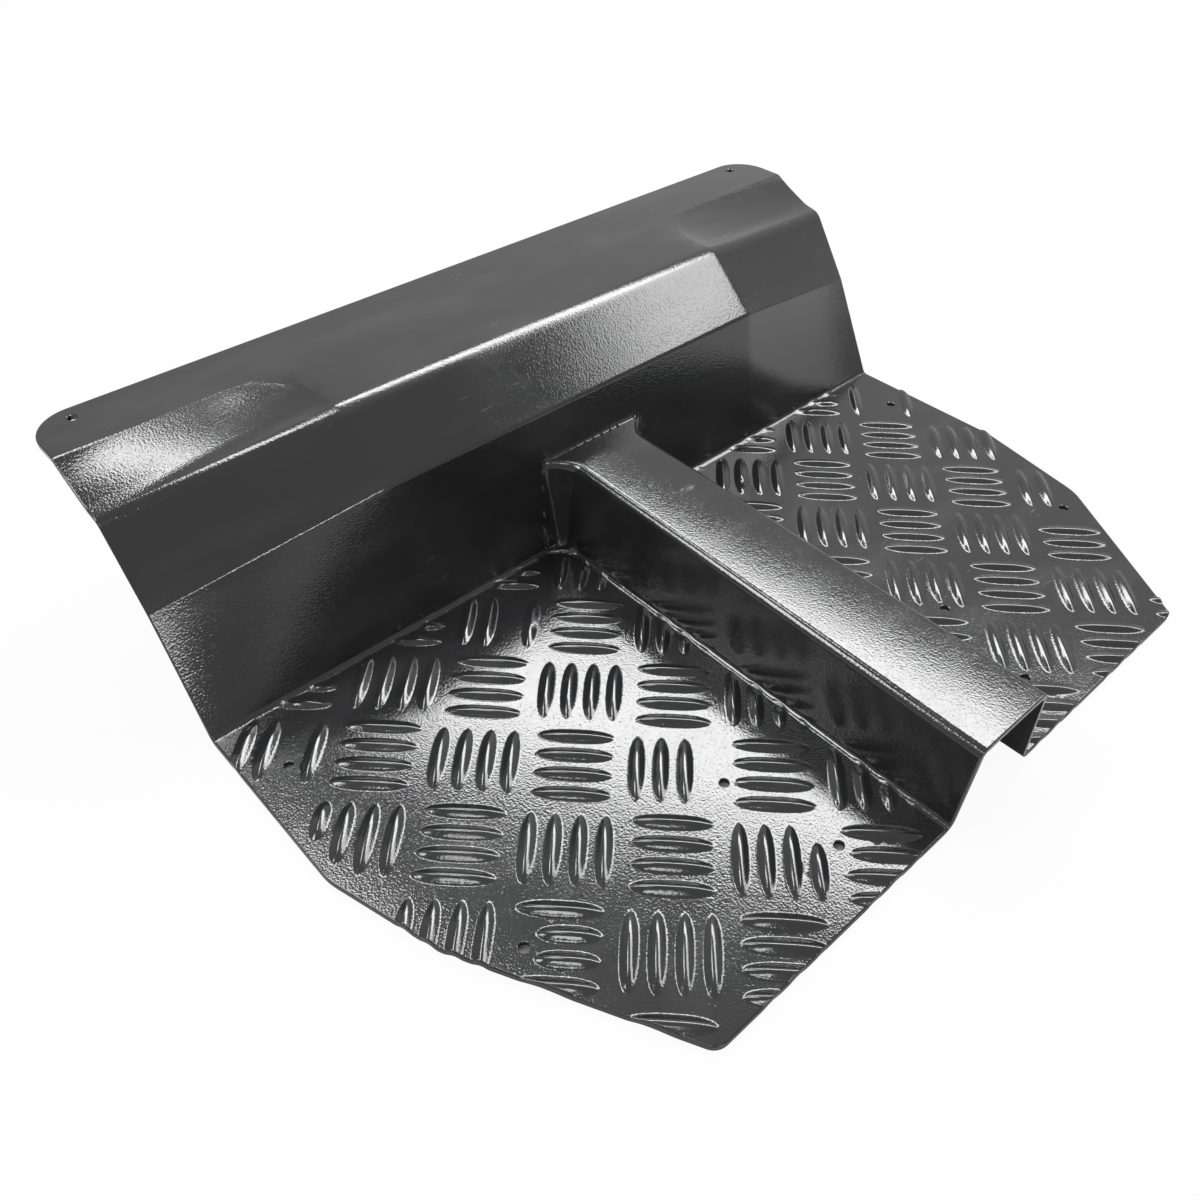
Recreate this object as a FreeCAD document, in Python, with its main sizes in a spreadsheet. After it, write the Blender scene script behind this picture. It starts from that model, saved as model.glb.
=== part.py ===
"""Scooter floor panel: one sheet of black plastic, formed over a plug and trimmed by hand.

X runs across the scooter, Y forward, Z up. The sketches measure Y from the rear edge and Z from the
top of the floor. The finished panel lies on its underside, centred over the origin.
"""
import FreeCAD
import Part
import math
import os
import Sketcher

from FreeCAD import Placement, Rotation, Vector

NODE = "floor_panel"

SIZES = {
    # The sheet and its trimmed outline, seen from above. Insets are measured in from the panel's sides.
    "sheet": 2.5,
    "width": 432.4,
    "depth": 342.5,
    "left_rear_inset": 60.5,
    "right_rear_inset": 64.8,
    "rear_corner_radius": 7.0,
    "left_shoulder_inset": 14.0,
    "left_shoulder_y": 90.0,
    "right_shoulder_inset": 12.9,
    "right_shoulder_y": 78.8,
    "waist_y": 139.5,
    "side_bend_radius": 30.0,
    "flange_corner_radius": 18.5,
    # The front wall. Runs are measured forward from its foot, rises up from the floor.
    "foot_radius": 3.0,
    "fold_radius": 4.0,
    "rim_radius": 6.0,
    "flange_rise": 96.0,
    "bay_width": 226.0,
    "bay_fold_run": 11.5,
    "bay_fold_rise": 70.5,
    "bay_brow_run": 40.0,
    "end_fold_run": 28.0,
    "end_fold_rise": 50.5,
    "end_brow_run": 51.5,
    "end_brow_rise": 83.0,
    "rim_run": 84.0,
    "flange_width": 31.5,
    # The centre tunnel.
    "tunnel_foot_width": 53.5,
    "tunnel_rear_top_width": 45.0,
    "tunnel_front_top_width": 42.0,
    "tunnel_rear_rise": 41.0,
    "tunnel_front_rise": 46.5,
    "tunnel_edge_radius": 4.0,
    "flare_length": 14.0,
    "flare_out": 11.0,
    # The bar tread: cells of parallel bars that turn by a quarter from cell to cell.
    "tread_pitch": 40.0,
    "tread_turn": 45.5,
    "tread_x": -85.7,
    "tread_y": 147.2,
    "bar_spacing": 9.7,
    "bar_length": 31.5,
    "bar_width": 6.6,
    "bar_height": 1.8,
    "crest_length": 13.0,
    "bar_root": 0.4,
    "hole_clear": 3.0,
    # The drilled holes: mirrored pairs in the floor and the flange, and one hole at each shoulder.
    "hole_diameter": 4.6,
    "left_side_hole_inset": 36.6,
    "left_side_hole_y": 70.5,
    "right_side_hole_inset": 29.8,
    "right_side_hole_y": 75.6,
    "wall_hole_inset": 16.7,
    "wall_hole_back": 31.8,
    "tunnel_hole_x": 75.6,
    "tunnel_hole_y": 72.4,
    "rear_hole_x": 64.7,
    "rear_hole_y": 23.4,
    "flange_hole_inset": 17.7,
    "flange_hole_margin": 8.5,
}

BARS_PER_CELL = 4
BAR_STEPS = 3
# Where the tunnel's flare bends, as shares of its length and its width.
FLARE_BEND_AT = 0.55
FLARE_BEND_OUT = 0.3
# Cells and single bars that the mould lacks, as (cell across, cell back) and (cell across, cell back, bar).
EMPTY_CELLS = {(4, -7), (5, -6), (6, -5)}
MISSING_BARS = {
    (-3, 1, 2), (-3, 2, 0), (1, 1, 3), (-1, -1, 2), (6, -3, 0), (6, -4, 2), (4, -6, 1), (4, -6, 2),
}


doc = FreeCAD.newDocument("ScooterFloorPanel")
sizes = doc.addObject("Spreadsheet::Sheet", "Sizes")
for row, (alias, number) in enumerate(SIZES.items(), start=1):
    sizes.set(f"A{row}", alias)
    sizes.set(f"B{row}", str(number))
    sizes.setAlias(f"B{row}", alias)
doc.recompute()


def size(expression):
    """The present value of an expression on the sheet."""
    return float(sizes.evalExpression(str(expression)))


def cell(alias):
    return f"Sizes.{alias}"


def half(alias):
    return f"Sizes.{alias} / 2"


def minus(expression):
    return f"-({expression})"


# Sketches of corners, some of them rounded.


def origin_plane(body, role):
    return next(plane for plane in body.Origin.OriginFeatures if plane.Role == role)


def new_sketch(body, name, role, lift=None, tilt=None):
    """A sketch on an origin plane, lifted along its normal and tilted about its own x axis."""
    sketch = body.newObject("Sketcher::SketchObject", name)
    sketch.AttachmentSupport = (origin_plane(body, role), "")
    sketch.MapMode = "FlatFace"
    if tilt:
        sketch.AttachmentOffset = Placement(Vector(), Rotation(Vector(1, 0, 0), size(tilt)))
        sketch.setExpression("AttachmentOffset.Rotation.Angle", tilt)
    if lift:
        sketch.setExpression("AttachmentOffset.Base.z", lift)
    return sketch


def bind(sketch, constraint, expression):
    index = sketch.addConstraint(constraint)
    sketch.setExpression(f"Constraints[{index}]", expression)


def pin_point(sketch, geometry, position, x, y):
    """Hold one point of a sketch at two expressions, measured from the sketch's origin."""
    for kind, expression in (("DistanceX", x), ("DistanceY", y)):
        value = size(expression)
        bind(sketch, Sketcher.Constraint(kind, -1, 1, geometry, position, value), expression)


def rounded_corner(before, corner, after, radius):
    """A corner's counter-clockwise arc, with its tangent points on the line before and the line after."""
    back = (before - corner).normalize()
    ahead = (after - corner).normalize()
    half_angle = back.getAngle(ahead) / 2
    reach = radius / math.tan(half_angle)
    touch_in = corner + back * reach
    touch_out = corner + ahead * reach
    centre = corner + (back + ahead).normalize() * (radius / math.sin(half_angle))
    turns_left = back.cross(ahead).z < 0
    first, last = (touch_in, touch_out) if turns_left else (touch_out, touch_in)
    angles = [math.atan2(point.y - centre.y, point.x - centre.x) for point in (first, last)]
    circle = Part.Circle(centre, Vector(0, 0, 1), radius)
    return Part.ArcOfCircle(circle, *angles), touch_in, touch_out, turns_left


def draw_outline(sketch, corners):
    """A closed outline through corners (x, y, radius) given as expressions; no radius is a sharp corner."""
    count = len(corners)
    points = [Vector(size(x), size(y), 0) for x, y, radius in corners]
    starts = list(points)
    ends = list(points)
    arcs = {}
    for i, (x, y, radius) in enumerate(corners):
        if radius:
            arc, ends[i], starts[i], turns_left = rounded_corner(
                points[i - 1], points[i], points[(i + 1) % count], size(radius)
            )
            arcs[i] = (sketch.addGeometry(arc), (1, 2) if turns_left else (2, 1))
    lines = []
    for i in range(count):
        lines.append(sketch.addGeometry(Part.LineSegment(starts[i], ends[(i + 1) % count])))
    for i, (x, y, radius) in enumerate(corners):
        line_in = lines[i - 1]
        line_out = lines[i]
        if not radius:
            sketch.addConstraint(Sketcher.Constraint("Coincident", line_in, 2, line_out, 1))
            pin_point(sketch, line_out, 1, x, y)
            continue
        arc, (first, last) = arcs[i]
        sketch.addConstraint(Sketcher.Constraint("Tangent", line_in, 2, arc, first))
        sketch.addConstraint(Sketcher.Constraint("Tangent", line_out, 1, arc, last))
        bind(sketch, Sketcher.Constraint("Radius", arc, size(radius)), radius)
        mark = sketch.addGeometry(Part.Point(points[i]), True)
        sketch.addConstraint(Sketcher.Constraint("PointOnObject", mark, 1, line_in))
        sketch.addConstraint(Sketcher.Constraint("PointOnObject", mark, 1, line_out))
        pin_point(sketch, mark, 1, x, y)
    return sketch


# The floor: the trimmed outline behind the front wall, one sheet thick.


WALL_FOOT = f"({cell('depth')} - {cell('flange_width')} - {cell('rim_run')})"
FLOOR_FRONT = f"{WALL_FOOT} - 4 * {cell('foot_radius')}"


def from_side(alias):
    """A place on the right half, measured in from the panel's side."""
    return f"({half('width')} - {cell(alias)})"


def floor_corners():
    rear_radius = cell("rear_corner_radius")
    bend_radius = cell("side_bend_radius")
    return [
        (from_side("right_rear_inset"), "0", rear_radius),
        (from_side("right_shoulder_inset"), cell("right_shoulder_y"), bend_radius),
        (half("width"), cell("waist_y"), bend_radius),
        (half("width"), FLOOR_FRONT, None),
        (minus(half("width")), FLOOR_FRONT, None),
        (minus(half("width")), cell("waist_y"), bend_radius),
        (minus(from_side("left_shoulder_inset")), cell("left_shoulder_y"), bend_radius),
        (minus(from_side("left_rear_inset")), "0", rear_radius),
    ]


def add_floor(body):
    outline = draw_outline(new_sketch(body, "FloorOutline", "XY_Plane"), floor_corners())
    pad = body.newObject("PartDesign::Pad", "Floor")
    pad.Profile = outline
    pad.Reversed = True
    pad.setExpression("Length", cell("sheet"))
    doc.recompute()


# The tunnel: a drafted ridge with rounded edges whose front corners flare out to the wall.


WALL_LEAN = f"atan({cell('bay_fold_run')} / {cell('bay_fold_rise')})"


def mirrored(right_side):
    """A closed outline from the corners of its right side, rear to front."""
    left_side = [(minus(x), y, radius) for x, y, radius in reversed(right_side)]
    return right_side + left_side


def along_tunnel(y, rear_alias, front_alias):
    """A size that changes evenly from the rear edge to the foot of the wall."""
    rear, front = cell(rear_alias), cell(front_alias)
    return f"({rear} + ({front} - {rear}) * ({y}) / {WALL_FOOT})"


def tunnel_section(body, name, y, flare, inset, sink, lean=None):
    """One cross-section of the tunnel, drawn in by inset; a leaning one lies in the wall's own plane."""
    sketch = new_sketch(body, name, "XZ_Plane", lift=minus(y), tilt=lean and minus(lean))
    slope = f"cos({lean})" if lean else "1"
    top_width = along_tunnel(y, "tunnel_rear_top_width", "tunnel_front_top_width")
    foot_half = f"{half('tunnel_foot_width')} + {flare} - {inset}"
    top_half = f"{top_width} / 2 + {flare} - {inset}"
    top = f"({along_tunnel(y, 'tunnel_rear_rise', 'tunnel_front_rise')} - {inset}) / {slope}"
    radius = f"{cell('tunnel_edge_radius')} - {inset}"
    right_side = [(foot_half, minus(sink), None), (top_half, top, radius)]
    return draw_outline(sketch, mirrored(right_side))


def tunnel_sections(body, name, inset, rear_y, wall_depth, sink):
    """Sections from the rear edge to a plane that lies wall_depth behind the wall's skin."""
    flare_y = f"{WALL_FOOT} - {cell('flare_length')}"
    bend_y = f"{WALL_FOOT} - {cell('flare_length')} * {1 - FLARE_BEND_AT}"
    bend_flare = f"{cell('flare_out')} * {FLARE_BEND_OUT}"
    wall_y = f"{WALL_FOOT} + {wall_depth}"
    return [
        tunnel_section(body, name + "Rear", rear_y, "0", inset, sink),
        tunnel_section(body, name + "Flare", flare_y, "0", inset, sink),
        tunnel_section(body, name + "Bend", bend_y, bend_flare, inset, sink),
        tunnel_section(body, name + "Front", wall_y, cell("flare_out"), inset, sink, WALL_LEAN),
    ]


def add_loft(body, kind, name, sections):
    loft = body.newObject(f"PartDesign::{kind}", name)
    loft.Profile = sections[0]
    loft.Sections = sections[1:]
    loft.Ruled = True
    doc.recompute()
    return loft


def add_tunnel(body):
    sections = tunnel_sections(
        body, "Tunnel", inset="0", rear_y="0", wall_depth=half("sheet"), sink=half("sheet")
    )
    add_loft(body, "AdditiveLoft", "Tunnel", sections)


def hollow_tunnel(body):
    sheet = cell("sheet")
    sections = tunnel_sections(
        body, "Hollow", inset=sheet, rear_y=minus(sheet), wall_depth=f"2 * {sheet}", sink=f"2 * {sheet}"
    )
    add_loft(body, "SubtractiveLoft", "Hollow", sections)


def edge_names(shape, wanted):
    return [f"Edge{i}" for i, edge in enumerate(shape.Edges, start=1) if wanted(edge)]


def add_fillet(body, name, base, edges, radius):
    fillet = body.newObject("PartDesign::Fillet", name)
    fillet.Base = (base, edges)
    fillet.setExpression("Radius", radius)
    doc.recompute()
    return fillet


# The front wall: four sections of the bent sheet, joined by ruled panels.


def skin_beneath(before, corner, after):
    """The underside's corner of a bent sheet, as expressions, one sheet away from both its panels."""
    angle_in = f"atan2({corner[1]} - ({before[1]}); {corner[0]} - ({before[0]}))"
    angle_out = f"atan2({after[1]} - ({corner[1]}); {after[0]} - ({corner[0]}))"
    mean = f"({angle_in} + {angle_out}) / 2"
    reach = f"{cell('sheet')} / cos(({angle_out} - {angle_in}) / 2)"
    return f"{corner[0]} + {reach} * sin({mean})", f"{corner[1]} - {reach} * cos({mean})"


def run(alias):
    return f"{WALL_FOOT} + {cell(alias)}"


def wall_section(folds):
    """A closed sheet section from its top skin's folds (y, z, top radius, underside radius)."""
    front = (cell("depth"), cell("flange_rise"))
    skin = [(FLOOR_FRONT, "0")] + [(y, z) for y, z, top, under in folds] + [front]
    upper = [(FLOOR_FRONT, "0", None)] + [(y, z, top) for y, z, top, under in folds]
    upper.append((*front, None))
    lower = [(FLOOR_FRONT, minus(cell("sheet")), None)]
    for i, (y, z, top, under) in enumerate(folds, start=1):
        lower.append((*skin_beneath(skin[i - 1], skin[i], skin[i + 1]), under))
    lower.append((cell("depth"), f"{cell('flange_rise')} - {cell('sheet')}", None))
    return upper + lower[::-1]


def foot_fold():
    return (WALL_FOOT, "0", cell("foot_radius"), f"{cell('foot_radius')} + {cell('sheet')}")


def outward_fold(y, z, radius_alias):
    return (y, z, cell(radius_alias), f"{cell(radius_alias)} - {cell('sheet')}")


def bay_section():
    """The section of the middle bay, where the rim fold has died out into the flange."""
    spread = half("rim_radius")
    return wall_section([
        foot_fold(),
        outward_fold(run("bay_fold_run"), cell("bay_fold_rise"), "fold_radius"),
        outward_fold(run("bay_brow_run"), cell("flange_rise"), "fold_radius"),
        (f"{run('rim_run')} - {spread}", cell("flange_rise"), None, None),
        (f"{run('rim_run')} + {spread}", cell("flange_rise"), None, None),
    ])


def end_section():
    return wall_section([
        foot_fold(),
        outward_fold(run("end_fold_run"), cell("end_fold_rise"), "fold_radius"),
        outward_fold(run("end_brow_run"), cell("end_brow_rise"), "fold_radius"),
        outward_fold(run("rim_run"), cell("flange_rise"), "rim_radius"),
    ])


def add_wall(body):
    stations = [
        ("LeftEnd", minus(half("width")), end_section),
        ("LeftBay", minus(half("bay_width")), bay_section),
        ("RightBay", half("bay_width"), bay_section),
        ("RightEnd", half("width"), end_section),
    ]
    sections = []
    for name, x, section in stations:
        sketch = new_sketch(body, "Wall" + name, "YZ_Plane", lift=x)
        sections.append(draw_outline(sketch, section()))
    doc.recompute()
    loft = add_loft(body, "AdditiveLoft", "Wall", sections)

    def is_flange_corner(edge):
        ends = [vertex.Point for vertex in edge.Vertexes]
        upright = len(ends) == 2 and abs(ends[0].z - ends[1].z) > size("sheet") / 2
        at_front = all(abs(point.y - size("depth")) < 0.01 for point in ends)
        at_side = all(abs(abs(point.x) - size("width") / 2) < 0.01 for point in ends)
        return upright and at_front and at_side

    corners = edge_names(loft.Shape, is_flange_corner)
    add_fillet(body, "FlangeCorners", loft, corners, cell("flange_corner_radius"))


# The holes, drilled straight down through the floor and the flange.


def hole_places():
    """The holes' centres, as pairs of expressions."""
    pairs = [
        (from_side("wall_hole_inset"), f"{WALL_FOOT} - {cell('wall_hole_back')}"),
        (cell("tunnel_hole_x"), cell("tunnel_hole_y")),
        (cell("rear_hole_x"), cell("rear_hole_y")),
        (from_side("flange_hole_inset"), f"{cell('depth')} - {cell('flange_hole_margin')}"),
    ]
    singles = [
        (minus(from_side("left_side_hole_inset")), cell("left_side_hole_y")),
        (from_side("right_side_hole_inset"), cell("right_side_hole_y")),
    ]
    return pairs + [(minus(x), y) for x, y in pairs] + singles


def drill_holes(body):
    sketch = new_sketch(body, "Holes", "XY_Plane")
    for x, y in hole_places():
        circle = Part.Circle(Vector(size(x), size(y), 0), Vector(0, 0, 1), size(half("hole_diameter")))
        hole = sketch.addGeometry(circle)
        bind(sketch, Sketcher.Constraint("Radius", hole, circle.Radius), half("hole_diameter"))
        pin_point(sketch, hole, 3, x, y)
    before = body.Shape.Volume
    pocket = body.newObject("PartDesign::Pocket", "DrilledHoles")
    pocket.Profile = sketch
    pocket.Type = "ThroughAll"
    pocket.Midplane = True
    doc.recompute()
    drilled = before - pocket.Shape.Volume
    expected = len(hole_places()) * math.pi * size(half("hole_diameter")) ** 2 * size("sheet")
    if abs(drilled - expected) > 0.05 * expected:
        raise RuntimeError(f"the holes took {drilled:.1f} mm3 in place of {expected:.1f}")


# The tread: spindle bars on the floor, cut off at its edges, at the tunnel and round the holes.


def tread_bar():
    """A spindle bar along X: a lens-shaped foot that rises to a smaller crest of the same shape."""
    length = size("bar_length")
    outline = []
    for side in (-1, 1):
        for step in range(BAR_STEPS):
            share = side * (2 * step / BAR_STEPS - 1)
            outline.append(Vector(share * length / 2, side * size(half("bar_width")) * (share ** 2 - 1), 0))
    taper = size("crest_length") / length
    foot = [point - Vector(0, 0, size("bar_root")) for point in outline]
    crest = [point * taper + Vector(0, 0, size("bar_height")) for point in outline]
    rims = [[foot[i - 1], foot[i], crest[i], crest[i - 1]] for i in range(len(outline))]
    faces = [Part.Face(Part.makePolygon(rim + rim[:1])) for rim in rims + [foot, crest]]
    return Part.Solid(Part.Shell(faces))


def tread_field():
    """The floor's part that may carry bars, as a slab that takes in their whole height."""
    root = size("bar_root")
    inset = size("sheet") / 2
    outline = [Vector(size(x), size(y), 0) for x, y, radius in floor_corners()]
    for corner in outline:
        if abs(corner.y - size(FLOOR_FRONT)) < 0.01:
            corner.y = size(WALL_FOOT) + inset / 2
    slab = Part.Face(Part.makePolygon(outline + outline[:1])).makeOffset2D(-root)
    slab = slab.extrude(Vector(0, 0, size("bar_height") + 2 * root))
    blocked = mirrored([
        (f"{half('tunnel_foot_width')} - {half('sheet')}", minus(cell("sheet")), None),
        (f"{half('tunnel_foot_width')} - {half('sheet')}",
         f"{WALL_FOOT} - {cell('flare_length')}", None),
        (f"{half('tunnel_foot_width')} + {cell('flare_out')} - {half('sheet')}",
         f"{WALL_FOOT} + {cell('sheet')}", None),
    ])
    tunnel = [Vector(size(x), size(y), 0) for x, y, radius in blocked]
    tunnel = Part.Face(Part.makePolygon(tunnel + tunnel[:1])).extrude(Vector(0, 0, size("sheet") * 2))
    keep_off = [tunnel]
    radius = size(half("hole_diameter")) + size("hole_clear")
    for x, y in hole_places():
        keep_off.append(Part.makeCylinder(radius, size("sheet") * 2, Vector(size(x), size(y), 0)))
    field = slab.cut(keep_off)
    field.translate(Vector(0, 0, -root))
    return field


def bar_places():
    """Placements of all bars of the lattice that can reach the floor."""
    pitch = size("tread_pitch")
    across = Rotation(Vector(0, 0, 1), -size("tread_turn")).multVec(Vector(1, 0, 0))
    back = Vector(across.y, -across.x, 0)
    start = Vector(size("tread_x"), size("tread_y"), 0)
    reach = math.ceil(math.hypot(size("width"), size("depth")) / pitch)
    for i in range(-reach, reach + 1):
        for j in range(-reach, reach + 1):
            if (i, j) in EMPTY_CELLS:
                continue
            centre = start + across * (i * pitch) + back * (j * pitch)
            lengthwise, sideways = (back, across) if (i + j) % 2 == 0 else (across, back)
            turn = Rotation(Vector(1, 0, 0), lengthwise)
            for k in range(BARS_PER_CELL):
                if (i, j, k) not in MISSING_BARS:
                    offset = (k - (BARS_PER_CELL - 1) / 2) * size("bar_spacing")
                    yield Placement(centre + sideways * offset, turn)


def tread_bars():
    field = tread_field()
    bar = tread_bar()
    whole = bar.Volume
    pieces = []
    for place in bar_places():
        placed = bar.copy()
        placed.Placement = place
        if not placed.BoundBox.intersect(field.BoundBox):
            continue
        pieces.extend(solid for solid in placed.common(field).Solids if solid.Volume > whole / 20)
    return Part.makeCompound(pieces)


def checked(shape):
    if shape.isNull() or not shape.isValid() or len(shape.Solids) != 1:
        raise RuntimeError("the panel is not one valid solid")
    return shape


def build_panel():
    body = doc.addObject("PartDesign::Body", "FormedSheet")
    add_floor(body)
    add_tunnel(body)
    add_wall(body)
    hollow_tunnel(body)
    drill_holes(body)
    tread = doc.addObject("Part::Feature", "Tread")
    tread.Shape = tread_bars()
    panel = doc.addObject("Part::Fuse", "FloorPanel")
    panel.Label = NODE
    panel.Base = body
    panel.Tool = tread
    panel.setExpression("Placement.Base.y", minus(half("depth")))
    panel.setExpression("Placement.Base.z", cell("sheet"))
    doc.recompute()
    return panel


panel = build_panel()
for item in doc.Objects:
    if "Invalid" in item.State or "Error" in item.State:
        raise RuntimeError(f"{item.Name} failed: {item.State}")
checked(panel.Shape)
os.makedirs("parts", exist_ok=True)
panel.Shape.exportStep(f"parts/{panel.Label}.step")
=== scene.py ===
import math
from collections import namedtuple

import bpy
import numpy as np
from mathutils import Matrix, Vector
from mathutils.geometry import delaunay_2d_cdt


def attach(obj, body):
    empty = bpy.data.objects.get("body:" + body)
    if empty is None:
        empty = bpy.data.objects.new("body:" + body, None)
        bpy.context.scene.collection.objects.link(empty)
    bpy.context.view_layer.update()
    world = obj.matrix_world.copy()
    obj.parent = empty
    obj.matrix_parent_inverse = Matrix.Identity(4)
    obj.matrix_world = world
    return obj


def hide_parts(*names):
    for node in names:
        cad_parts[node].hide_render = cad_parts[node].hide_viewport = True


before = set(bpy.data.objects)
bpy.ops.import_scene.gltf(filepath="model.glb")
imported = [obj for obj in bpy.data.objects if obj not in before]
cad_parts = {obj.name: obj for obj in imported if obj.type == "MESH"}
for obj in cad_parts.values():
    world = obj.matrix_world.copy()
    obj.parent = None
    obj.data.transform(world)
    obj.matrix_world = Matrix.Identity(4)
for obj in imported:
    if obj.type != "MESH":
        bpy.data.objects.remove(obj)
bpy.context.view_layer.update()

# Sizes of the panel in millimetres: X across, Y from the rear edge, Z from the top of the floor.
SHEET = 2.5
DEPTH = 342.5
HALF_WIDTH = 216.2
# Corners of the trimmed outline, each with its radius.
OUTLINE = np.array([
    (151.4, 0.0, 7.0), (203.3, 78.8, 30.0), (HALF_WIDTH, 139.5, 30.0), (HALF_WIDTH, DEPTH, 18.5),
    (-HALF_WIDTH, DEPTH, 18.5), (-HALF_WIDTH, 139.5, 30.0), (-202.2, 90.0, 30.0), (-155.7, 0.0, 7.0),
])
EDGE_RADIUS = 0.8

# The front wall. Each pair is a size in the middle bay and at the panel's ends.
WALL_FOOT = 227.0
BAY_HALF = 113.0
BAY_TURN = 0.012
FOLD_RUN = (11.5, 28.0)
FOLD_RISE = (70.5, 50.5)
BROW_RUN = (40.0, 51.5)
BROW_RISE = (96.0, 83.0)
RIM_RUN = 84.0
FLANGE_RISE = 96.0
WALL_RADII = (3.0, 4.0, 12.0, 5.0)
WALL_LEAN = FOLD_RUN[0] / FOLD_RISE[0]
DISH_DROP = 2.0
DISH_RUN = 10.0
DISH_CORNER = 30.0
DISH_FADE = 12.0
DISH_START = 272.0

# The centre tunnel. Each pair is a size at the rear edge and at the wall.
TUNNEL_FOOT = 26.75
TUNNEL_TOP = (22.5, 21.0)
TUNNEL_RISE = (41.0, 46.5)
TUNNEL_RADII = (3.0, 4.0)
TUNNEL_CROWN = 0.5
FLARE_LENGTH = 14.0
FLARE_OUT = 11.0
TUNNEL_MEETING = 3.0

# The bar tread, whose cells turn by a quarter from one to the next.
PITCH = 40.0
TURN = math.radians(-45.5)
TREAD_START = np.array([-85.7, 147.2])
CELL_REACH = 12
BAR_REACH = 16.0
BAR_SPACING = 9.7
BAR_LENGTH = 31.5
BAR_WIDTH = 6.4
BAR_RISE = 1.65
BAR_BLUNT = 3.0
BAR_RIDGE = 2.0
BAR_ROOT = 0.3
HOLLOW_SHARE = 0.7
# Distances over which the tread dies out: past a bar's side, round a hole, up a fold and by a fold's foot.
ROOT_REACH = 0.6
ROOT_FADE = 0.4
HOLE_FLAT = 0.8
HOLE_FADE = 1.5
FOLD_FADE = 1.2
FOOT_FADE = 3.0
FOOT_SHARE = 0.3
RIDGE_DROP = math.sqrt(1.0 + BAR_RIDGE ** 2) - 1.0
# A cell is known by its number across and back, and a bar also by its number in the cell.
EMPTY_CELLS = {(4, -7), (5, -6), (6, -5)}
MISSING_BARS = {
    (-3, 1, 2), (-3, 2, 0), (-3, 2, 1), (-2, 3, 0), (1, 1, 3), (-1, -1, 2), (4, -6, 1), (4, -6, 2),
    (6, -4, 2), (6, -4, 3), (6, -3, 0), (7, -2, 0), (7, -2, 1),
}
# Where a bar is nicked, and where a short bar ends, as shares of half its length from its middle.
NICKED_BARS = {(-1, -1, 3): 0.0, (2, -4, 1): 0.5}
NICK_DEPTH = 0.9
NICK_LENGTH = 0.13
SHORT_BARS = {(-2, 2, 0): (-1.0, 0.15), (-2, 2, 1): (-1.0, 0.75), (2, 2, 3): (-0.54, 1.0)}

HOLE_RADIUS = 2.3
HOLE_EDGE = 0.5
HOLE_ASIDE = 5.8
HOLE_GAP = 4.0
HOLES = np.array([
    (199.5, 195.2), (-199.5, 195.2), (75.6, 72.4), (-75.6, 72.4), (64.7, 23.4), (-64.7, 23.4),
    (198.5, 334.0), (-198.5, 334.0), (-179.6, 70.5), (186.4, 75.6),
])

# How closely the skins are sampled: steps along and in from the outline and out from a hole, points round
# a hole, shares of an arc's sweep, insets from a dish's rim, columns over the tunnel, and shares of a bar's
# half length and half width.
OUTLINE_STEP = 0.8
EDGE_STEPS = (0.0, 0.1, 0.35, EDGE_RADIUS)
HOLE_STEPS = (0.0, 0.15, HOLE_EDGE, 1.4)
HOLE_POINTS = 28
ARC_SHARES = np.linspace(0, 1, 7)
DISH_INSETS = (0.0, 0.6, 1.5, 3.0, 5.0, 8.0, 12.0, 17.0, 23.0)
CROWN_COLUMNS = (-16.0, -11.0, -5.5, 0.0, 5.5, 11.0, 16.0)
TOP_ALONG = (-1.07, -1.03, -0.99, -0.94, -0.84, -0.62, -0.33, 0.0)
TOP_ACROSS = (-1.28, -1.1, -0.98, -0.78, -0.45, -0.18, 0.0)
UNDER_ALONG = (-1.1, -0.9, -0.5, 0.0)
UNDER_ACROSS = (-1.1, -0.6, 0.0)
# How far lines run on past the outline, how far bar points keep from a fold's foot, and how far the end
# stretches of a folded line run on.
PAST_EDGE = 3.0
FOOT_CLEAR = 2.8
OVERRUN = 60.0

# From the sizes above to the frame, whose origin lies under the middle of the panel.
FRAME_SHIFT = np.array([0.0, -DEPTH / 2, SHEET])

Arc = namedtuple("Arc", "run rise radius turn angle_in angle_out")
Bar = namedtuple("Bar", "centre along half_length nick")


def between(pair, share):
    return pair[0] + (pair[1] - pair[0]) * share


def eased(share):
    """A smooth step from 0 to 1."""
    share = np.clip(share, 0.0, 1.0)
    return share * share * (3.0 - 2.0 * share)


# Heights of the top skin over the plan.


def fold_arcs(corners, radii):
    """Each inner corner's arc: its centre, radius, turn and the directions of the stretches it joins."""
    arcs = []
    for before, corner, after, radius in zip(corners, corners[1:], corners[2:], radii):
        angle_in = np.arctan2(corner[1] - before[1], corner[0] - before[0])
        angle_out = np.arctan2(after[1] - corner[1], after[0] - corner[0])
        turn = np.sign(angle_out - angle_in)
        reach = radius * np.tan(np.abs(angle_out - angle_in) / 2)
        run = corner[0] - np.cos(angle_in) * reach - turn * radius * np.sin(angle_in)
        rise = corner[1] - np.sin(angle_in) * reach + turn * radius * np.cos(angle_in)
        arcs.append(Arc(run, rise, radius, turn, angle_in, angle_out))
    return arcs


def run_on_arc(arc, share):
    return arc.run + arc.turn * arc.radius * np.sin(between((arc.angle_in, arc.angle_out), share))


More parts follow.
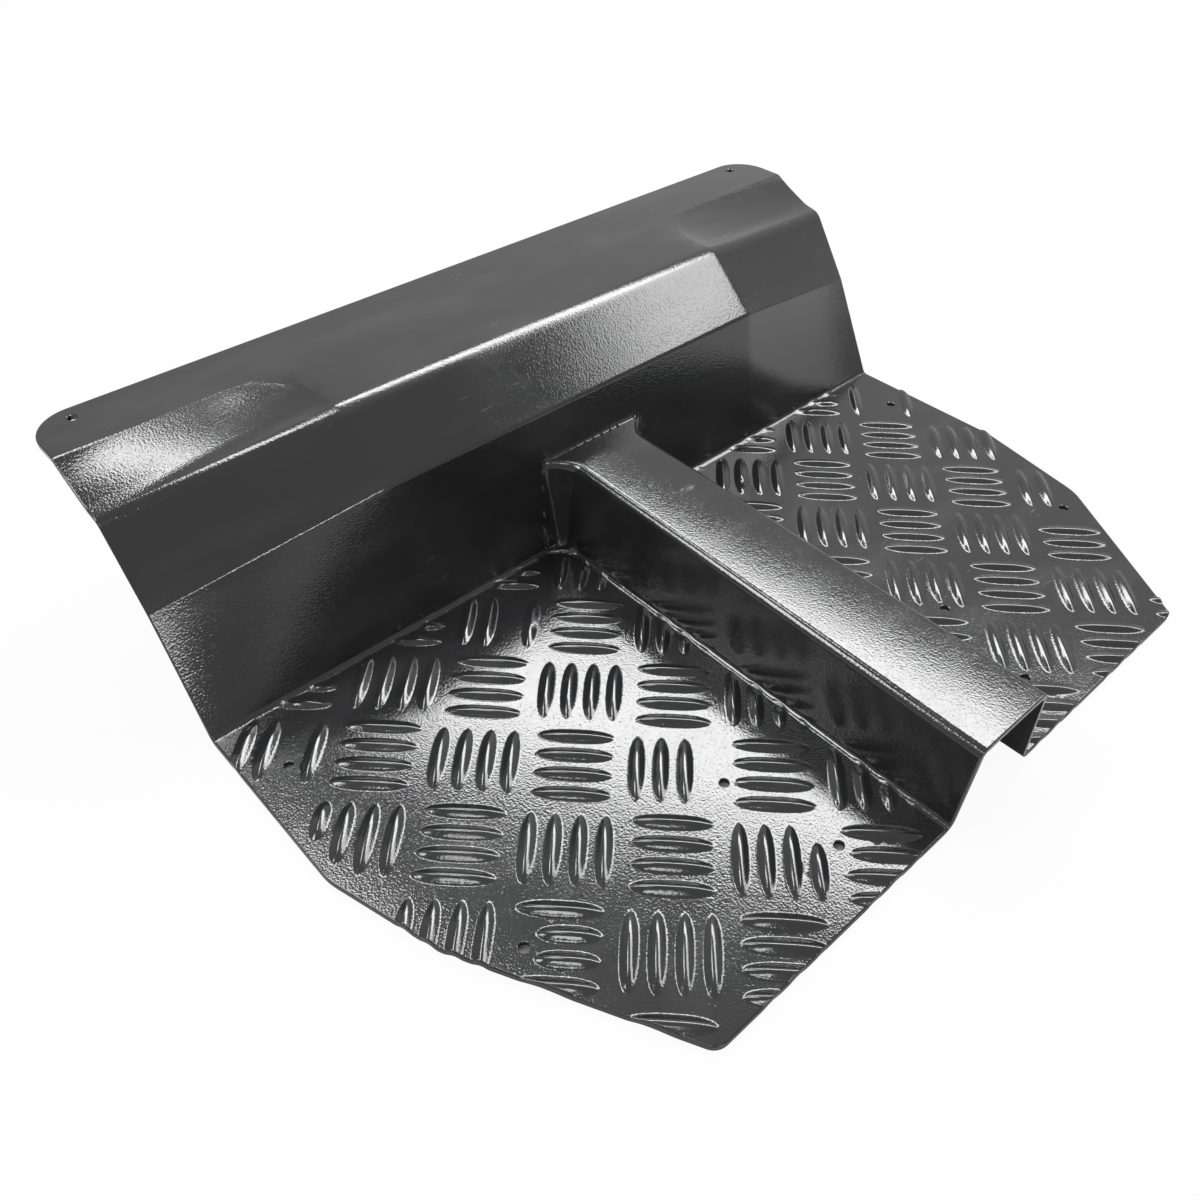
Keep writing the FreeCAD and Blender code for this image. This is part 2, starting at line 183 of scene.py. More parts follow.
def folded_height(run, corners, radii):
    """Height along a line of straight stretches with rounded corners between them."""
    height = np.zeros_like(run) + corners[0][1]
    for start, end in zip(corners, corners[1:]):
        slope = (end[1] - start[1]) / (end[0] - start[0])
        height = np.where(run >= start[0], start[1] + (run - start[0]) * slope, height)
    for arc in fold_arcs(corners, radii):
        on_arc = (run > run_on_arc(arc, 0.0)) & (run < run_on_arc(arc, 1.0))
        rise = arc.rise - arc.turn * np.sqrt(np.maximum(arc.radius ** 2 - (run - arc.run) ** 2, 0.0))
        height = np.where(on_arc, rise, height)
    return height


def wall_corners(x):
    """Runs and rises of the wall's folds, which slope from the bay's ends to the panel's."""
    share = (np.abs(x) - BAY_HALF) / (HALF_WIDTH - BAY_HALF)
    share = (share + np.sqrt(share ** 2 + BAY_TURN ** 2)) / 2
    return [
        (WALL_FOOT - OVERRUN + 0 * x, 0 * x),
        (WALL_FOOT + 0 * x, 0 * x),
        (WALL_FOOT + between(FOLD_RUN, share), between(FOLD_RISE, share)),
        (WALL_FOOT + between(BROW_RUN, share), between(BROW_RISE, share)),
        (WALL_FOOT + RIM_RUN + 0 * x, FLANGE_RISE + 0 * x),
        (DEPTH + OVERRUN + 0 * x, FLANGE_RISE + 0 * x),
    ]


def dish_drop(x, y, corners):
    """The shallow dish pressed into each end's upper panel, with a crisp rim and a rounded inner corner."""
    from_bay = np.abs(x) - BAY_HALF
    from_rim = corners[4][0] - y
    from_corner = DISH_CORNER - np.hypot(
        np.maximum(DISH_CORNER - from_bay, 0.0), np.maximum(DISH_CORNER - from_rim, 0.0)
    )
    inside = np.maximum(np.minimum(np.minimum(from_bay, from_rim), from_corner), 0.0)
    from_brow = (y - corners[3][0]) / DISH_FADE
    return DISH_DROP * (1.0 - np.exp(-inside / DISH_RUN)) * eased(from_brow)


def wall_height(x, y):
    corners = wall_corners(x)
    return folded_height(y, corners, WALL_RADII) - dish_drop(x, y, corners)


def tunnel_corners(y):
    """Places across and rises of the tunnel's left folds, flared out towards the wall."""
    along = np.clip(y / WALL_FOOT, 0.0, 1.0)
    flare = FLARE_OUT * np.clip((y - WALL_FOOT + FLARE_LENGTH) / FLARE_LENGTH, 0.0, 1.0) ** 2
    foot = TUNNEL_FOOT + flare
    top = between(TUNNEL_TOP, along) + flare
    rise = between(TUNNEL_RISE, along)
    return [(-foot - OVERRUN, 0 * y), (-foot, 0 * y), (-top, rise), (OVERRUN + 0 * y, rise)]


def tunnel_height(x, y):
    """The tunnel's height, with its flare leaning forward as the wall does and a slight crown on top."""
    across = -np.abs(x)
    upright = folded_height(across, tunnel_corners(y), TUNNEL_RADII)
    corners = tunnel_corners(y - WALL_LEAN * upright)
    crown = TUNNEL_CROWN * np.maximum(1.0 - (x / corners[2][0]) ** 2, 0.0)
    return folded_height(across, corners, TUNNEL_RADII) + crown


def form_height(x, y):
    """The formed sheet without its tread: floor, tunnel and wall, with a soft corner between the last two."""
    wall = wall_height(x, y)
    tunnel = tunnel_height(x, y)
    soft = np.clip(np.minimum(wall, tunnel), 0.001, TUNNEL_MEETING)
    meet = np.maximum(soft - np.abs(wall - tunnel), 0.0) / soft
    return np.maximum(wall, tunnel) + meet * meet * soft / 4


def trimmed_bar(centre, along, aside, ends):
    """A bar's centre and half length between its ends, with an end beside a screw hole drawn back from it."""
    start, end = ends[0] * BAR_LENGTH / 2, ends[1] * BAR_LENGTH / 2
    for hole in HOLES:
        run = (hole - centre) @ along
        off = abs((hole - centre) @ aside)
        if off < HOLE_ASIDE and abs(run) < BAR_LENGTH / 2 + HOLE_GAP:
            if run > 0:
                end = min(end, run - HOLE_GAP)
            else:
                start = max(start, run + HOLE_GAP)
    return centre + along * (start + end) / 2, (end - start) / 2


def bar_places():
    """The tread bars that can reach the floor."""
    across = np.array([math.cos(TURN), math.sin(TURN)])
    back = np.array([across[1], -across[0]])
    places = []
    for i in range(-CELL_REACH, CELL_REACH + 1):
        for j in range(-CELL_REACH, CELL_REACH + 1):
            if (i, j) in EMPTY_CELLS:
                continue
            along, aside = (back, across) if (i + j) % 2 == 0 else (across, back)
            for k in range(4):
                centre = TREAD_START + PITCH * (i * across + j * back) + (k - 1.5) * BAR_SPACING * aside
                over_width = abs(centre[0]) < HALF_WIDTH + BAR_REACH
                over_depth = -BAR_REACH < centre[1] < WALL_FOOT + BAR_REACH
                if over_width and over_depth and (i, j, k) not in MISSING_BARS:
                    ends = SHORT_BARS.get((i, j, k), (-1.0, 1.0))
                    centre, half_length = trimmed_bar(centre, along, aside, ends)
                    places.append(Bar(centre, along, half_length, NICKED_BARS.get((i, j, k))))
    return places


BARS = bar_places()


def ridge_fall(sideways):
    """How far a bar falls from its ridge, from 0 there to 1 at its sides, and how steeply."""
    root = np.sqrt(1.0 + (BAR_RIDGE * sideways) ** 2)
    return (root - 1.0) / RIDGE_DROP, BAR_RIDGE ** 2 * sideways / (root * RIDGE_DROP)


def hole_distance(x, y):
    return np.hypot(x[:, None] - HOLES[:, 0], y[:, None] - HOLES[:, 1]).min(axis=1)


def bar_height(bar, x, y):
    """A bar's height at places near it, with a soft root round its foot."""
    from_x = x - bar.centre[0]
    from_y = y - bar.centre[1]
    lengthwise = (from_x * bar.along[0] + from_y * bar.along[1]) / bar.half_length
    sideways = (from_y * bar.along[0] - from_x * bar.along[1]) / (BAR_WIDTH / 2)
    fall, side_slope = ridge_fall(sideways)
    end_slope = BAR_BLUNT * np.abs(lengthwise) ** (BAR_BLUNT - 1)
    inside = 1.0 - np.abs(lengthwise) ** BAR_BLUNT - fall
    steepness = np.maximum(np.hypot(end_slope / bar.half_length, side_slope / (BAR_WIDTH / 2)), 0.1)
    crest = (inside + np.hypot(inside, BAR_ROOT * steepness)) / 2
    height = BAR_RISE * crest * eased((inside / steepness + ROOT_REACH) / ROOT_FADE)
    if bar.nick is not None:
        height *= 1.0 - NICK_DEPTH * np.exp(-((lengthwise - bar.nick) / NICK_LENGTH) ** 2)
    return height


def tread_height(x, y, form):
    """How far the tread stands above the sheet, fading by holes, on folds and towards their feet."""
    rise = np.zeros_like(x)
    for bar in BARS:
        near_x = np.abs(x - bar.centre[0]) < BAR_LENGTH
        near_y = np.abs(y - bar.centre[1]) < BAR_LENGTH
        near = np.flatnonzero(near_x & near_y)
        rise[near] = np.maximum(rise[near], bar_height(bar, x[near], y[near]))
    rise *= eased((hole_distance(x, y) - HOLE_RADIUS - HOLE_FLAT) / HOLE_FADE)
    rise *= eased(1.0 - form / FOLD_FADE)
    to_foot = np.minimum(WALL_FOOT - y, np.abs(x) + tunnel_corners(y)[1][0]) - WALL_RADII[0]
    return rise * between((FOOT_SHARE, 1.0), eased(to_foot / FOOT_FADE))


def skin_normals(height_of, x, y):
    step = 0.01
    slope_x = (height_of(x + step, y) - height_of(x - step, y)) / (2 * step)
    slope_y = (height_of(x, y + step) - height_of(x, y - step)) / (2 * step)
    normals = np.stack([-slope_x, -slope_y, np.ones_like(x)], axis=1)
    return normals / np.linalg.norm(normals, axis=1, keepdims=True)


# The plan: points and lines that the skin's triangles follow.


def rounded_outline(step):
    """The trimmed outline as points in order, with at least five to each corner."""
    corners = OUTLINE[:, :2]
    arcs = []
    for i, corner in enumerate(corners):
        radius = OUTLINE[i, 2]
        back = corners[i - 1] - corner
        ahead = corners[(i + 1) % len(corners)] - corner
        back /= np.linalg.norm(back)
        ahead /= np.linalg.norm(ahead)
        half_angle = math.acos(back @ ahead) / 2
        middle = (back + ahead) / np.linalg.norm(back + ahead)
        centre = corner + middle * radius / math.sin(half_angle)
        start = corner + back * radius / math.tan(half_angle) - centre
        sweep = math.pi - 2 * half_angle
        count = max(4, int(sweep * radius / step))
        turns = math.atan2(start[1], start[0]) + sweep * np.linspace(0, 1, count + 1)
        arcs.append(centre + radius * np.stack([np.cos(turns), np.sin(turns)], axis=1))
    outline = []
    for arc, following in zip(arcs, arcs[1:] + arcs[:1]):
        outline.extend(arc)
        run = following[0] - arc[-1]
        count = max(1, int(np.linalg.norm(run) / step))
        outline.extend(arc[-1] + run * share for share in np.arange(1, count) / count)
    return np.array(outline)


OUTLINE_POINTS = rounded_outline(OUTLINE_STEP)
OUTLINE_RUNS = np.roll(OUTLINE_POINTS, -1, axis=0) - OUTLINE_POINTS
OUTLINE_NORMALS = np.stack([OUTLINE_RUNS[:, 1], -OUTLINE_RUNS[:, 0]], axis=1)
OUTLINE_NORMALS /= np.linalg.norm(OUTLINE_NORMALS, axis=1, keepdims=True)


def edge_distance(points):
    """Each point's distance in from the outline, and the outward direction of the nearest edge."""
    offsets = (OUTLINE_POINTS * OUTLINE_NORMALS).sum(axis=1)
    depth = np.empty(len(points))
    outward = np.empty((len(points), 2))
    batch = 4000
    for start in range(0, len(points), batch):
        part = slice(start, start + batch)
        inside = offsets - points[part] @ OUTLINE_NORMALS.T
        nearest = inside.argmin(axis=1)
        depth[part] = inside[np.arange(len(nearest)), nearest]
        outward[part] = OUTLINE_NORMALS[nearest]
    return depth, outward


class Plan:
    """Points and lines collected for one triangulation."""

    def __init__(self):
        self.points = []
        self.lines = []

    def scatter(self, points):
        self.points.extend(map(tuple, points))

    def line(self, points, closed=False):
        first = len(self.points)
        self.scatter(points)
        last = len(self.points) - 1
        self.lines.extend((k, k + 1) for k in range(first, last))
        if closed:
            self.lines.append((last, first))

    def triangles(self):
        places = [Vector((float(x), float(y))) for x, y in self.points]
        joined = delaunay_2d_cdt(places, self.lines, [], 0, 1e-4)
        return np.array([tuple(corner) for corner in joined[0]]), np.array(joined[2])


def add_outline(plan):
    """Lines along the outline and round the holes, close together where the edges are rounded."""
    corner_out = OUTLINE_NORMALS + np.roll(OUTLINE_NORMALS, 1, axis=0)
    corner_out /= np.linalg.norm(corner_out, axis=1, keepdims=True)
    for step in EDGE_STEPS:
        plan.line(OUTLINE_POINTS - corner_out * step, closed=True)
    turns = np.linspace(0, 2 * math.pi, HOLE_POINTS, endpoint=False)
    ring = np.stack([np.cos(turns), np.sin(turns)], axis=1)
    for centre in HOLES:
        for step in HOLE_STEPS:
            plan.line(centre + ring * (HOLE_RADIUS + step), closed=True)


def add_dish(plan, side):
    """Lines that follow a dish's rim up from the bay, round its inner corner and out to the panel's end."""
    rim = WALL_FOOT + RIM_RUN
    corner_x = BAY_HALF + DISH_CORNER
    corner_y = rim - DISH_CORNER
    turns = np.linspace(0, math.pi / 2, 15)
    for inset in DISH_INSETS:
        bend = DISH_CORNER - inset
        up = [(BAY_HALF + inset, y) for y in np.linspace(DISH_START, corner_y, 8)[:-1]]
        corner = zip(corner_x - bend * np.cos(turns), corner_y + bend * np.sin(turns))
        out = [(x, rim - inset) for x in np.linspace(corner_x, HALF_WIDTH + PAST_EDGE, 10)[1:]]
        plan.line(np.array(up + list(corner) + out) * (side, 1))


def add_wall(plan):
    """Rows along the wall's folds and panels, with columns close together at the bay's ends."""
    half = np.concatenate([
        np.arange(0, 105, 12), BAY_HALF + np.array([-7, -3, -1, -0.4, 0, 0.4, 1, 3, 7]),
        np.arange(126, 210, 9), [211, 214.6, HALF_WIDTH + PAST_EDGE],
    ])
    coarse = np.concatenate([-half[:0:-1], half])
    fine = np.linspace(-HALF_WIDTH - PAST_EDGE, HALF_WIDTH + PAST_EDGE, 290)

    def add_fold(x, which):
        arc = fold_arcs(wall_corners(x), WALL_RADII)[which]
        for share in ARC_SHARES:
            plan.line(np.stack([x, run_on_arc(arc, share)], axis=1))

    add_fold(fine, 0)
    add_fold(coarse, 1)
    add_fold(coarse, 2)
    corners = wall_corners(coarse)
    for share in (0.3, 0.6):
        plan.line(np.stack([coarse, between((corners[3][0] + 3, corners[4][0] - 3), share)], axis=1))
    for offset in (-1.2, -0.4, 0.0, 0.4, 1.2):
        plan.line(np.stack([coarse, corners[4][0] + offset], axis=1))
    for side in (-1, 1):
        add_dish(plan, side)


def add_tunnel(plan):
    """Columns along the tunnel's folds and top, and a fine grid where it meets the wall."""
    coarse = np.concatenate([
        [-PAST_EDGE, EDGE_RADIUS], np.arange(12, 205, 12), [208], np.arange(211, 236, 2),
    ])
    fine = np.arange(-PAST_EDGE, WALL_FOOT - 1, 1.5)

    def add_fold(y, which):
        lean = WALL_LEAN * TUNNEL_RISE[1] * which
        arc = fold_arcs(tunnel_corners(y - lean), TUNNEL_RADII)[which]
        for share in ARC_SHARES:
            plan.line(np.stack([side * run_on_arc(arc, share), y], axis=1))

    for side in (-1, 1):
        add_fold(fine, 0)
        add_fold(coarse, 1)
    for x in CROWN_COLUMNS:
        plan.line(np.stack([x + 0 * coarse, coarse], axis=1))
    corner_x, corner_y = np.meshgrid(np.arange(-45.3, 45.4, 0.9), np.arange(215.0, 238.0, 0.45))
    plan.scatter(np.stack([corner_x.ravel(), corner_y.ravel()], axis=1))


def bar_grid(along, across):
    """Shares along a bar and distances across it, for points over the bar and just round it."""
    along, across = np.meshgrid(along, across)
    ridge = np.maximum(1.0 - np.abs(along) ** BAR_BLUNT, 0.02) * RIDGE_DROP
    half_width = BAR_WIDTH / 2 * np.sqrt((1.0 + ridge) ** 2 - 1.0) / BAR_RIDGE
    over_bar = np.clip(across, -1, 1)
    distance = over_bar * half_width + (across - over_bar) * BAR_WIDTH / 2
    return along.reshape(-1, 1), distance.reshape(-1, 1)


def add_bars(plan, along, across):
    """A grid of points over each bar and just round it, closer together on a bar that the outline cuts."""
    whole = bar_grid(along, across)
    cut = bar_grid(np.linspace(along[0], along[-1], 3 * len(along)), across)
    points = []
    for bar in BARS:
        aside = np.array([-bar.along[1], bar.along[0]])
        reach = bar.along * bar.half_length
        ends = np.stack([bar.centre - reach, bar.centre + reach])
        shares, distances = cut if edge_distance(ends)[0].min() < BAR_WIDTH / 2 else whole
        points.append(bar.centre + shares * reach + distances * aside)
    points = np.concatenate(points)
    clear_of_edge = edge_distance(points)[0] > EDGE_RADIUS + 0.2
    clear_of_wall = points[:, 1] < WALL_FOOT - FOOT_CLEAR
    clear_of_tunnel = np.abs(points[:, 0]) > FOOT_CLEAR - tunnel_corners(points[:, 1])[1][0]
    clear_of_holes = hole_distance(*points.T) > HOLE_RADIUS + 1.8
    plan.scatter(points[clear_of_edge & clear_of_wall & clear_of_tunnel & clear_of_holes])


def mirrored(shares):
    """Shares from one side to the middle, carried on to the other side."""
    return np.concatenate([shares, -np.array(shares[-2::-1])])


def plan_faces(along, across):
    """The panel's plan in triangles, with its bars sampled at the given shares."""
    plan = Plan()
    add_outline(plan)
    add_wall(plan)
    add_tunnel(plan)
    add_bars(plan, mirrored(along), mirrored(across))
    places, faces = plan.triangles()
    middles = places[faces].mean(axis=1)
    inside_outline = edge_distance(middles)[0] > 1e-4
    faces = faces[inside_outline & (hole_distance(*middles.T) > HOLE_RADIUS - 0.05)]
    used, faces = np.unique(faces, return_inverse=True)
    return places[used], faces.reshape(-1, 3)


def rounded_drop(radius, lean):
    return radius * (1.0 - np.sqrt(1.0 - lean ** 2))


def top_skin(places):
    """Points and normals of the top, rounded over at the cut edges and holes."""
    x, y = places.T

    def height(px, py):
        bare = form_height(px, py)
        return bare + tread_height(px, py, bare)

    normals = skin_normals(height, x, y)
    depth, outward = edge_distance(places)
    edge_lean = np.clip(1.0 - depth / EDGE_RADIUS, 0.0, 1.0)
    hole_lean = np.clip(1.0 - (hole_distance(x, y) - HOLE_RADIUS) / HOLE_EDGE, 0.0, 1.0)
    drop = rounded_drop(EDGE_RADIUS, edge_lean) + rounded_drop(HOLE_EDGE, hole_lean)
    top = np.stack([x, y, height(x, y)], axis=1) - skin_normals(form_height, x, y) * drop[:, None]
    outward = np.concatenate([outward, np.zeros((len(outward), 1))], axis=1)
    upright = np.sqrt(1.0 - edge_lean ** 2)
    return top, normals * upright[:, None] + outward * edge_lean[:, None]


def under_skin(places):
    """Points and normals of the underside, with a shallow hollow under each bar."""
    x, y = places.T
    form = form_height(x, y)
    normals = skin_normals(form_height, x, y)
    hollow = HOLLOW_SHARE * tread_height(x, y, form)
    return np.stack([x, y, form + hollow], axis=1) - normals * SHEET, -normals


def rim_edges(faces):
    """The edges that only one triangle has."""
    edges = np.concatenate([faces[:, [0, 1]], faces[:, [1, 2]], faces[:, [2, 0]]])
    first, counts = np.unique(np.sort(edges, axis=1), axis=0, return_index=True, return_counts=True)[1:]
    return edges[first[counts == 1]]


def sheet_object(name):
    """The closed sheet: its top, its underside and the cut edges between them."""
    top_places, top_faces = plan_faces(TOP_ALONG, TOP_ACROSS)
    under_places, under_faces = plan_faces(UNDER_ALONG, UNDER_ACROSS)
    top, top_normals = top_skin(top_places)
    under, under_normals = under_skin(under_places)
    rim = rim_edges(top_faces)
    under_rim = np.unique(rim_edges(under_faces))
    gaps = np.linalg.norm(top_places[rim][:, :, None] - under_places[under_rim], axis=-1)
    partner = under_rim[gaps.argmin(axis=-1)] + len(top)
    cut = np.stack([rim[:, 1], rim[:, 0], partner[:, 0], partner[:, 1]], axis=1)
    points = (np.concatenate([top, under]) + FRAME_SHIFT) / 1000
    faces = top_faces.tolist() + (under_faces[:, ::-1] + len(top)).tolist() + cut.tolist()
    mesh = bpy.data.meshes.new(name)
    mesh.from_pydata(points.tolist(), [], faces)
    mesh.update()
    corners = np.empty(len(mesh.loops), dtype=int)
    mesh.loops.foreach_get("vertex_index", corners)
    corner_normals = np.concatenate([top_normals, under_normals])[corners]
    cut_normals = np.array([polygon.normal for polygon in mesh.polygons[-len(cut):]])
    corner_normals[-4 * len(cut):] = np.repeat(cut_normals, 4, axis=0)
    mesh.polygons.foreach_set("use_smooth", np.ones(len(mesh.polygons), dtype=bool))
    mesh.normals_split_custom_set(corner_normals.tolist())
    sheet = bpy.data.objects.new(name, mesh)
    bpy.context.collection.objects.link(sheet)
    return sheet


# Materials, with lengths in metres.

# The rub mark lies across the tunnel's top, and is this much longer across than along.
RUB_PLACE = (0.006, 0.0055)
RUB_STRETCH = 3.0
BRIGHT_SIDE = (0.75, 0.6, 0.28)


def grey(level):
    return (level, level, level, 1.0)


class Value:
    """A socket that takes part in arithmetic."""

    def __init__(self, tree, socket):
        self.tree = tree
        self.socket = socket

    def combine(self, operation, first, second):
        node = self.tree.nodes.new("ShaderNodeMath")
        node.operation = operation
        for socket, item in zip(node.inputs, (first, second)):
            if isinstance(item, Value):
                self.tree.links.new(item.socket, socket)
            else:
                socket.default_value = item
        return Value(self.tree, node.outputs[0])

    def __add__(self, other):
        return self.combine("ADD", self, other)

    def __radd__(self, other):
        return self.combine("ADD", other, self)

    def __sub__(self, other):
        return self.combine("SUBTRACT", self, other)

    def __rsub__(self, other):
        return self.combine("SUBTRACT", other, self)

    def __mul__(self, other):
        return self.combine("MULTIPLY", self, other)

    def __rmul__(self, other):
        return self.combine("MULTIPLY", other, self)

    def at_most(self, other):
        return self.combine("MINIMUM", self, other)


class Shading:
    """The nodes of a material or world."""

    def __init__(self, owner):
        owner.use_nodes = True
        self.tree = owner.node_tree
        self.tree.nodes.clear()

    def node(self, kind, settings, sockets, output=0):
        """A node of a kind, with its settings made first and then its sockets set or linked."""
        made = self.tree.nodes.new(kind)
        for name, setting in settings.items():
            setattr(made, name, setting)
        for key, item in sockets.items():
            if isinstance(item, Value):
                self.tree.links.new(item.socket, made.inputs[key])
            else:
                made.inputs[key].default_value = item
        return Value(self.tree, made.outputs[output]) if len(made.outputs) else None

    def ramp(self, value, low, high):
        """A value's share of the way from low to high, held between 0 and 1."""
        return self.node("ShaderNodeMapRange", {}, {"Value": value, "From Min": low, "From Max": high})

    def mixed(self, share, first, second):
        """A colour between two others. The sockets for colours have these numbers."""
        return self.node("ShaderNodeMix", {"data_type": "RGBA"}, {0: share, 6: first, 7: second}, 2)


def black_gloss_plastic():
    material = bpy.data.materials.new("black_gloss_plastic")
    shading = Shading(material)
    place = shading.node("ShaderNodeTexCoord", {}, {}, "Object")

    def noise(scale, detail, vector=place):
        return shading.node("ShaderNodeTexNoise", {}, {"Vector": vector, "Scale": scale, "Detail": detail})

    def drawn_out(stretch):
        return shading.node("ShaderNodeVectorMath", {"operation": "MULTIPLY"}, {0: place, 1: stretch})

    # The grain is drawn smooth over the bars, which stand just above the floor's top.
    height = shading.node("ShaderNodeSeparateXYZ", {}, {"Vector": place}, "Z")
    on_bars = shading.ramp(height, 0.0028, 0.0036) * shading.ramp(height, 0.006, 0.0045)
    grain = noise(1100.0, 1.0)
    ripple = noise(220.0, 1.0)
    cloud = noise(28.0, 2.0)
    relief = (grain + 0.25 * ripple) * (1.0 - 0.75 * on_bars)

    # Marks of use: hairline scuffs in patches, smears, one rub on the tunnel, and worn edges.
    hairlines = shading.ramp(noise(1.0, 1.0, drawn_out((90.0, 1500.0, 300.0))), 0.69, 0.76)
    scuffs = hairlines * shading.ramp(cloud, 0.56, 0.66)
    smears = shading.ramp(noise(1.0, 2.0, drawn_out((16.0, 45.0, 45.0))), 0.5, 0.75)
    from_rub = shading.node(
        "ShaderNodeVectorMath", {"operation": "DISTANCE"},
        {0: drawn_out((1.0, RUB_STRETCH, 0.0)), 1: (RUB_PLACE[0], RUB_STRETCH * RUB_PLACE[1], 0.0)}, "Value",
    )
    rub_lines = shading.ramp(noise(1.0, 1.0, drawn_out((200.0, 900.0, 200.0))), 0.4, 0.6)
    rub = shading.ramp(from_rub, 0.007, 0.002) * rub_lines
    pointed = shading.node("ShaderNodeNewGeometry", {}, {}, "Pointiness")
    worn = shading.ramp(pointed, 0.53, 0.62) * shading.ramp(noise(160.0, 2.0), 0.4, 0.7)
    marks = (0.7 * scuffs + rub + 0.5 * worn).at_most(1.0)

    colour = shading.mixed(0.25 * marks + 0.05 * smears, (0.014, 0.014, 0.015, 1.0), grey(0.2))
    roughness = 0.07 + 0.05 * cloud + 0.03 * grain + 0.25 * marks + 0.05 * smears
    bump = shading.node("ShaderNodeBump", {}, {"Height": relief, "Strength": 1.0, "Distance": 0.00007})
    shader = shading.node(
        "ShaderNodeBsdfPrincipled", {},
        {
            "Base Color": colour, "Roughness": roughness, "IOR": 1.54,
            "Specular IOR Level": 0.7, "Normal": bump,
        },
    )
    shading.node("ShaderNodeOutputMaterial", {}, {"Surface": shader})
    return material


def white_studio():
    """A floor that the camera sees as nearly white and that keeps a shadow."""
    material = bpy.data.materials.new("white_studio")
    shading = Shading(material)
    plain = shading.node("ShaderNodeBsdfDiffuse", {}, {"Color": grey(0.5)})
    glow = shading.node("ShaderNodeEmission", {}, {"Color": grey(1.0), "Strength": 1.0})
    seen = shading.node("ShaderNodeLightPath", {}, {}, "Is Camera Ray")
    shader = shading.node("ShaderNodeMixShader", {}, {0: 0.94 * seen, 1: plain, 2: glow})
    shading.node("ShaderNodeOutputMaterial", {}, {"Surface": shader})
    return material


# A plain dark grey floor patch, painted shade that stands in for the shade under the sheet.
def painted_shade_floor():
    material = bpy.data.materials.new("painted_shade_floor")
    shading = Shading(material)
    plain = shading.node("ShaderNodeBsdfDiffuse", {}, {"Color": grey(0.2)})
    shading.node("ShaderNodeOutputMaterial", {}, {"Surface": plain})
    return material


def studio_world():
    """An even grey room, lighter to the right behind the panel, that the camera sees as white."""
    world = bpy.data.worlds.new("studio_world")
    shading = Shading(world)
    direction = shading.node("ShaderNodeTexCoord", {}, {}, "Generated")
    facing = shading.node(
        "ShaderNodeVectorMath", {"operation": "DOT_PRODUCT"}, {0: direction, 1: BRIGHT_SIDE}, "Value"
    )
    colour = shading.mixed(shading.ramp(facing, 0.4, 1.0), grey(0.44), grey(0.76))
    room = shading.node("ShaderNodeBackground", {}, {"Color": colour, "Strength": 1.0})
    white = shading.node("ShaderNodeBackground", {}, {"Color": grey(1.0), "Strength": 1.0})
    seen = shading.node("ShaderNodeLightPath", {}, {}, "Is Camera Ray")
    shader = shading.node("ShaderNodeMixShader", {}, {0: seen, 1: room, 2: white})
    shading.node("ShaderNodeOutputWorld", {}, {"Surface": shader})
    return world


# The panel.

panel = sheet_object("formed_floor_panel")
panel.data.materials.append(black_gloss_plastic())
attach(panel, "root")
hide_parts("floor_panel")

# The studio in metres: floor, world, softboxes and camera.

# Painted shade: the floor is darker under each foot plate and the tunnel, so that the screw holes and the
# tunnel look dark.
FLOOR_REACH = 6.0
FLOOR_GAP = 0.0005
PATCH_LIFT = 0.0002
UNDER_LEFT = [
    (-0.15, -0.166), (-0.034, -0.166), (-0.034, 0.05), (-0.212, 0.05), (-0.212, -0.03), (-0.197, -0.081),
]
UNDER_RIGHT = [
    (0.034, -0.166), (0.146, -0.166), (0.198, -0.092), (0.212, -0.03), (0.212, 0.05), (0.034, 0.05),
]
UNDER_TUNNEL = [(-0.024, -0.14), (0.024, -0.14), (0.024, 0.05), (-0.024, 0.05)]

open_floor = [(x * FLOOR_REACH, y * FLOOR_REACH, 0.0) for x, y in ((-1, -1), (1, -1), (1, 1), (-1, 1))]
patches = [(x, y, PATCH_LIFT) for x, y in UNDER_LEFT + UNDER_RIGHT + UNDER_TUNNEL]
floor_mesh = bpy.data.meshes.new("studio_floor")
floor_mesh.from_pydata(open_floor + patches, [], [range(4), range(4, 10), range(10, 16), range(16, 20)])
floor_mesh.materials.append(white_studio())
# The second material is the painted shade under the sheet.
floor_mesh.materials.append(painted_shade_floor())
floor_mesh.polygons.foreach_set("material_index", [0, 1, 1, 1])
studio_floor = bpy.data.objects.new("studio_floor", floor_mesh)
studio_floor.location.z = -FLOOR_GAP
bpy.context.collection.objects.link(studio_floor)

bpy.context.scene.world = studio_world()


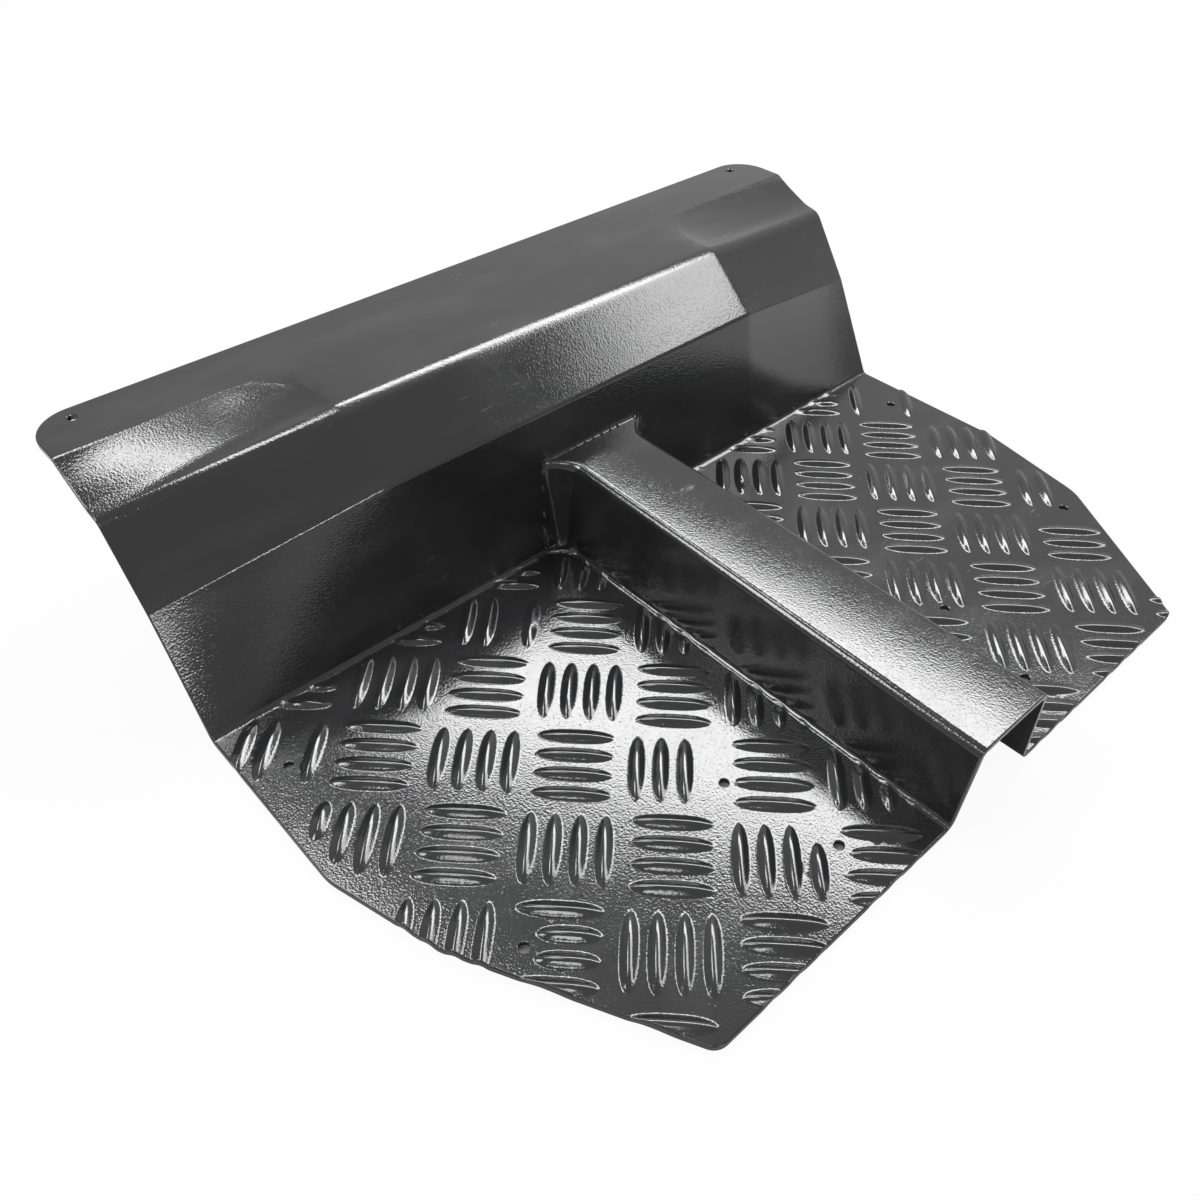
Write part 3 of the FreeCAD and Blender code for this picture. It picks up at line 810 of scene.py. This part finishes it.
def softbox(name, centre, facing, spin, width, height, radiance):
    """A rectangular area lamp of a given radiance, facing a point."""
    lamp = bpy.data.lights.new(name, "AREA")
    lamp.shape = "RECTANGLE"
    lamp.size = width
    lamp.size_y = height
    lamp.energy = radiance * math.pi * width * height
    box = bpy.data.objects.new(name, lamp)
    direction = Vector(facing) - Vector(centre)
    turn = direction.to_track_quat("-Z", "Y").to_matrix() @ Matrix.Rotation(math.radians(spin), 3, "Z")
    box.matrix_world = Matrix.Translation(centre) @ turn.to_4x4()
    bpy.context.collection.objects.link(box)


softbox("long_softbox", (0.925, 0.682, 1.5), (0.925, 0.682, 0.0), 26.0, 0.505, 1.556, 12.5)
softbox("far_softbox", (1.482, -0.508, 1.5), (1.482, -0.508, 0.0), 26.0, 0.65, 1.067, 7.5)
softbox("end_softbox", (0.0, 0.72, 1.5), (0.0, 0.72, 0.0), 4.0, 0.2, 0.8, 12.0)
softbox("left_softbox", (-1.25, 0.75, 1.5), (0.0, 0.0, 0.0), 0.0, 0.7, 0.9, 10.0)
softbox("near_softbox", (-0.83, -0.57, 1.5), (-0.1, -0.1, 0.0), 0.0, 0.6, 0.2, 8.0)
softbox("low_softbox", (-0.45, -1.95, 0.75), (-0.1, 0.06, 0.06), 0.0, 0.8, 0.25, 10.0)

# The photo's camera, fitted to the panel: its focal length in photo pixels, its place in the sizes above.
PHOTO_PIXELS = 1200.0
FOCAL_PIXELS = 1069.25
CAMERA_PLACE = (-289.45, -85.83, 342.27)
forward = Vector((0.49533, 0.53770, -0.68229)).normalized()
image_up = Vector((0.45429, 0.50912, 0.73104)).normalized()
image_right = forward.cross(image_up)

camera_data = bpy.data.cameras.new("photo_camera")
camera_data.sensor_width = 36.0
camera_data.lens = camera_data.sensor_width * FOCAL_PIXELS / PHOTO_PIXELS
camera = bpy.data.objects.new("photo_camera", camera_data)
rotation = Matrix((image_right, image_up, -forward)).transposed()
camera.matrix_world = Matrix.Translation((FRAME_SHIFT + CAMERA_PLACE) / 1000) @ rotation.to_4x4()
bpy.context.collection.objects.link(camera)
bpy.context.scene.camera = camera
bpy.context.scene.view_settings.view_transform = "Standard"
